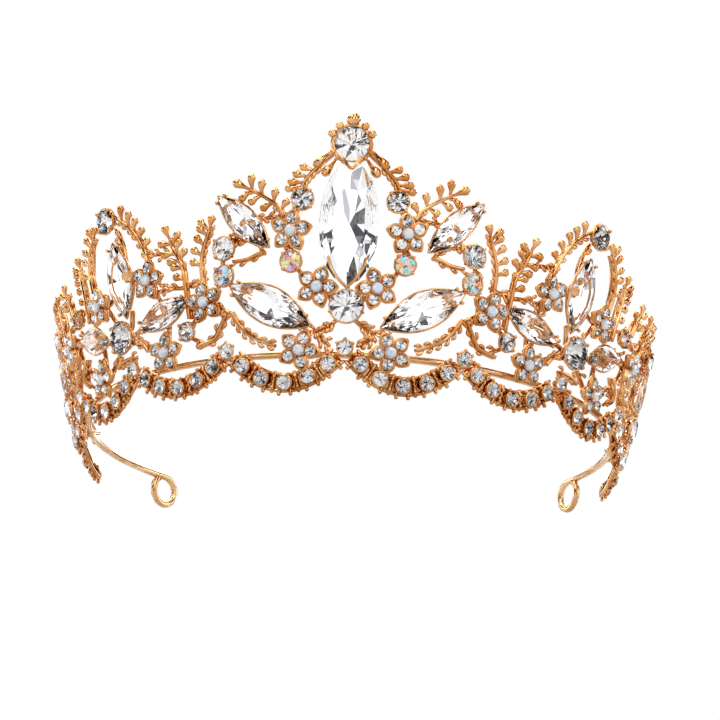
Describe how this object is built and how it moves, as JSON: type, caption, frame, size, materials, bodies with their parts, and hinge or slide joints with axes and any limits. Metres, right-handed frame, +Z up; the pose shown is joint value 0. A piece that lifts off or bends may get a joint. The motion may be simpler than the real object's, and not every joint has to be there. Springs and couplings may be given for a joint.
{
  "type": "bridal tiara",
  "caption": "Gold filigree bridal tiara with a scalloped stone-set edge, large clear crystals, opal-centred flowers and a wire band ending in pin eyes.",
  "frame": {"origin": "middle of the footprint, on the table that the tiara stands on", "axes": "+Z up, the crest and the front face -Y, +X to the right as seen from the front"},
  "size_m": [0.1392, 0.1181, 0.055],
  "materials": {
    "gold_casting": "warm rose-gold plating, polished, slightly softened on the cast details",
    "gold_wire": "warm gold plating on drawn wire, satin",
    "flower_gold": "warm rose-gold plating round small clear stones and a milky opal cabochon",
    "crystal": "clear faceted crystal with a pointed back, polished",
    "aurora_crystal": "faceted crystal with an iridescent rainbow coating",
    "opal": "milky bluish opal cabochon, smooth"
  },
  "bodies": {
    "root": {"wire_band": "gold_wire", "crest_casting": "gold_casting", "scallop_chain_left": "gold_casting", "scallop_chain_right": "gold_casting", "inner_casting_left": "gold_casting", "inner_casting_right": "gold_casting", "outer_casting_left": "gold_casting", "outer_casting_right": "gold_casting", "crest_round_stone": "crystal", "crest_oval_stone": "crystal", "lower_round_stone": "crystal", "shoulder_round_stone_left": "crystal", "shoulder_round_stone_right": "crystal", "upper_marquise_stone_left": "crystal", "upper_marquise_stone_right": "crystal", "inner_round_stone_left": "crystal", "inner_round_stone_right": "crystal", "large_marquise_stone_left": "crystal", "large_marquise_stone_right": "crystal", "upper_aurora_stone_left": "aurora_crystal", "upper_aurora_stone_right": "aurora_crystal", "lower_aurora_stone_left": "aurora_crystal", "lower_aurora_stone_right": "aurora_crystal", "small_round_stone_left": "crystal", "small_round_stone_right": "crystal", "inner_ray_stone_left": "crystal", "inner_ray_stone_right": "crystal", "upright_ray_stone_left": "crystal", "upright_ray_stone_right": "crystal", "outer_ray_stone_left": "crystal", "outer_ray_stone_right": "crystal", "large_round_stone_left": "crystal", "large_round_stone_right": "crystal", "peak_round_stone_left": "crystal", "peak_round_stone_right": "crystal", "end_upper_stone_left": "crystal", "end_upper_stone_right": "crystal", "end_marquise_stone_left": "crystal", "end_marquise_stone_right": "crystal", "end_lower_stone_left": "crystal", "end_lower_stone_right": "crystal", "crest_flower_left": "flower_gold", "crest_flower_right": "flower_gold", "cup_flower_left": "flower_gold", "cup_flower_right": "flower_gold", "inner_flower_left": "flower_gold", "inner_flower_right": "flower_gold", "valley_flower_left": "flower_gold", "valley_flower_right": "flower_gold", "outer_flower_left": "flower_gold", "outer_flower_right": "flower_gold", "first_edge_flower_left": "flower_gold", "first_edge_flower_right": "flower_gold", "second_edge_flower_left": "flower_gold", "second_edge_flower_right": "flower_gold", "third_edge_flower_left": "flower_gold", "third_edge_flower_right": "flower_gold", "end_flower_left": "flower_gold", "end_flower_right": "flower_gold"}
  },
  "joints": []
}
